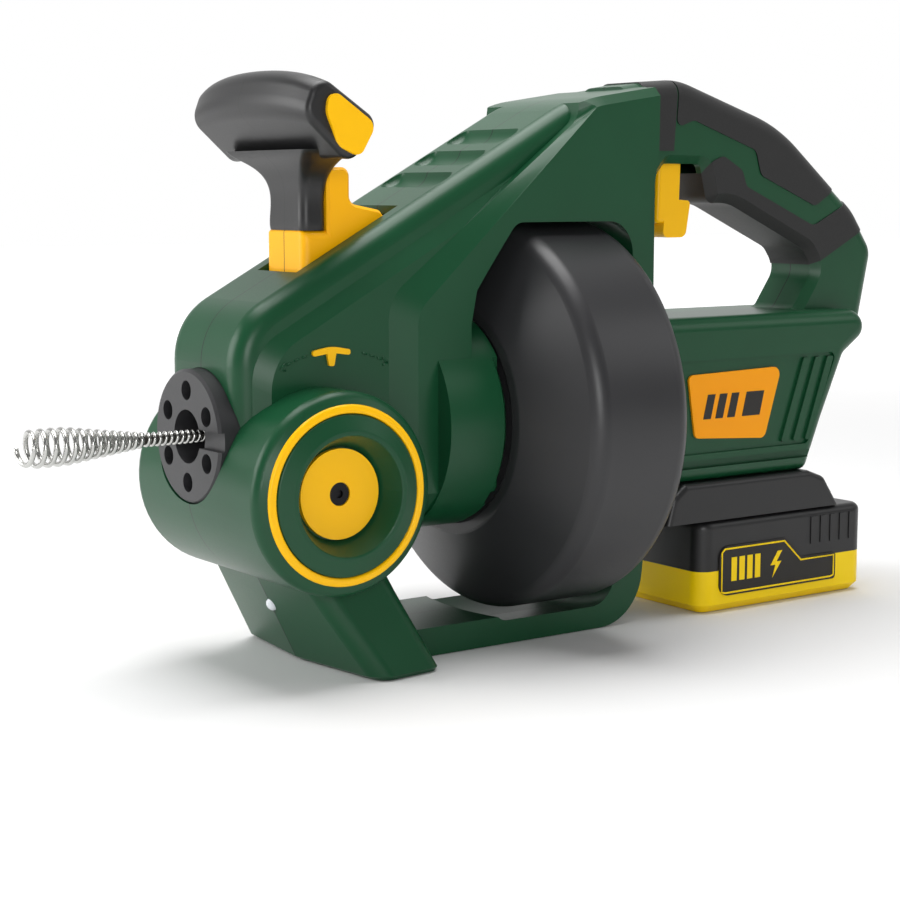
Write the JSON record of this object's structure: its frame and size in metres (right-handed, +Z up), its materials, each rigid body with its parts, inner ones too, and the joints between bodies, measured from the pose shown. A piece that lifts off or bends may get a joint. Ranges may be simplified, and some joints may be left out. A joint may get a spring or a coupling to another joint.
{
  "type": "cordless drain snake machine",
  "caption": "Cordless drum drain auger with a T feed lever, D handle, slide-on battery and a bulb-head cable.",
  "frame": {"origin": "on the floor, on the rail's underside, below the middle of the drum", "axes": "+X towards the handle and the battery, -X out of the nose, +Y to the machine's right, +Z up"},
  "size_m": [0.477, 0.184, 0.2611],
  "materials": {
    "green_shell": "satin",
    "yellow_plastic": "satin",
    "battery_yellow": "satin",
    "badge_plate": "satin",
    "black_plastic": "satin",
    "drum_plastic": "satin",
    "grip_rubber": "matte",
    "label": "gloss",
    "lens": "gloss",
    "steel": "brushed",
    "black_screw": "black oxide",
    "bronze": "sintered",
    "copper_blade": "bright",
    "cell_wrap": "satin"
  },
  "bodies": {
    "casing": {"casing_left": "green_shell", "casing_right": "green_shell", "casing_screws": "black_screw", "outlet_collar": "black_plastic", "roller_cradle": "black_plastic", "roller_pins_lower": "steel", "ring_trims": "yellow_plastic", "badges": "badge_plate", "feed_icons": "yellow_plastic", "front_bush": "bronze", "rear_bush": "bronze", "led_lens": "lens", "control_board": "black_plastic", "trigger_switch": "black_plastic", "gearbox_plate": "black_plastic", "ring_gear": "black_plastic", "motor_can": "steel", "motor_endcap": "black_plastic", "battery_shoe": "black_plastic", "terminal_blades": "copper_blade", "grip_band": "grip_rubber", "grip_back": "grip_rubber", "grip_palm": "grip_rubber"},
    "drum": {"drum_front_shell": "drum_plastic", "drum_rear_shell": "drum_plastic", "stored_cable": "steel", "output_shaft": "steel"},
    "cable": {"snake_cable": "steel", "auger_head": "steel"},
    "lever": {"lever_yoke_left": "yellow_plastic", "lever_yoke_right": "yellow_plastic", "lever_grip_left": "grip_rubber", "lever_grip_right": "grip_rubber", "lever_caps": "yellow_plastic", "hub_discs": "yellow_plastic", "hub_screws": "black_screw", "pivot_shaft": "steel", "roller_pin_upper": "steel"},
    "roller_upper": {"roller_upper": "steel"},
    "roller_left": {"roller_left": "steel"},
    "roller_right": {"roller_right": "steel"},
    "carrier": {"carrier_gear": "steel"},
    "rotor": {"motor_rotor": "steel"},
    "trigger": {"trigger": "yellow_plastic"},
    "battery": {"battery_lower_case": "battery_yellow", "battery_upper_case": "black_plastic", "battery_cells": "cell_wrap", "battery_labels": "label"},
    "battery_button": {"battery_button": "yellow_plastic"},
    "planet_1a": {"planet_gear_1a": "steel"},
    "planet_1b": {"planet_gear_1b": "steel"},
    "planet_1c": {"planet_gear_1c": "steel"},
    "planet_2a": {"planet_gear_2a": "steel"},
    "planet_2b": {"planet_gear_2b": "steel"},
    "planet_2c": {"planet_gear_2c": "steel"}
  },
  "joints": [
    {"name": "drum_spin", "type": "hinge", "parent": "casing", "child": "drum", "pos_m": [0, 0, 0.1045], "axis": [1, 0, 0], "continuous": true},
    {"name": "cable_feed", "type": "slide", "parent": "drum", "child": "cable", "axis": [-1, 0, 0], "range_m": [-0.025, 0.1]},
    {"name": "feed_lever", "type": "hinge", "parent": "casing", "child": "lever", "pos_m": [-0.135, 0, 0.0825], "axis": [0, 1, 0], "range_deg": [-2, 2], "stiffness_Nm_per_rad": 20},
    {"name": "trigger_pull", "type": "slide", "parent": "casing", "child": "trigger", "axis": [1, 0, 0], "range_m": [0, 0.0045], "stiffness_N_per_m": 900, "springref_m": -0.002},
    {"name": "battery_slide", "type": "slide", "parent": "casing", "child": "battery", "axis": [1, 0, 0], "range_m": [0, 0.12]},
    {"name": "battery_release", "type": "slide", "parent": "battery", "child": "battery_button", "axis": [-1, 0, 0], "range_m": [0, 0.0012], "stiffness_N_per_m": 2000, "springref_m": -0.001},
    {"name": "carrier_spin", "type": "hinge", "parent": "casing", "child": "carrier", "pos_m": [0.05, 0, 0.1045], "axis": [1, 0, 0], "continuous": true},
    {"name": "rotor_spin", "type": "hinge", "parent": "casing", "child": "rotor", "pos_m": [0.09, 0, 0.1045], "axis": [1, 0, 0], "continuous": true},
    {"name": "planet_2a_spin", "type": "hinge", "parent": "drum", "child": "planet_2a", "pos_m": [0.05, 0.0105, 0.1045], "axis": [1, 0, 0], "continuous": true},
    {"name": "planet_2b_spin", "type": "hinge", "parent": "drum", "child": "planet_2b", "pos_m": [0.05, -0.00525, 0.11359], "axis": [1, 0, 0], "continuous": true},
    {"name": "planet_2c_spin", "type": "hinge", "parent": "drum", "child": "planet_2c", "pos_m": [0.05, -0.00525, 0.09541], "axis": [1, 0, 0], "continuous": true},
    {"name": "planet_1a_spin", "type": "hinge", "parent": "carrier", "child": "planet_1a", "pos_m": [0.061, 0.0105, 0.1045], "axis": [1, 0, 0], "continuous": true},
    {"name": "planet_1b_spin", "type": "hinge", "parent": "carrier", "child": "planet_1b", "pos_m": [0.061, -0.00525, 0.11359], "axis": [1, 0, 0], "continuous": true},
    {"name": "planet_1c_spin", "type": "hinge", "parent": "carrier", "child": "planet_1c", "pos_m": [0.061, -0.00525, 0.09541], "axis": [1, 0, 0], "continuous": true},
    {"name": "roller_upper_spin", "type": "hinge", "parent": "lever", "child": "roller_upper", "pos_m": [-0.134, 0, 0.11227], "axis": [1, 0, 0], "continuous": true},
    {"name": "roller_left_spin", "type": "hinge", "parent": "casing", "child": "roller_left", "pos_m": [-0.134, -0.00673, 0.10061], "axis": [1, 0, 0], "continuous": true},
    {"name": "roller_right_spin", "type": "hinge", "parent": "casing", "child": "roller_right", "pos_m": [-0.134, 0.00673, 0.10061], "axis": [1, 0, 0], "continuous": true}
  ],
  "couplings": [
    {"joint": "carrier_spin", "follows": "drum_spin", "ratio": 5},
    {"joint": "rotor_spin", "follows": "drum_spin", "ratio": 25},
    {"joint": "planet_2a_spin", "follows": "drum_spin", "ratio": -2.6667},
    {"joint": "planet_2b_spin", "follows": "drum_spin", "ratio": -2.6667},
    {"joint": "planet_2c_spin", "follows": "drum_spin", "ratio": -2.6667},
    {"joint": "planet_1a_spin", "follows": "drum_spin", "ratio": -13.333},
    {"joint": "planet_1b_spin", "follows": "drum_spin", "ratio": -13.333},
    {"joint": "planet_1c_spin", "follows": "drum_spin", "ratio": -13.333}
  ]
}
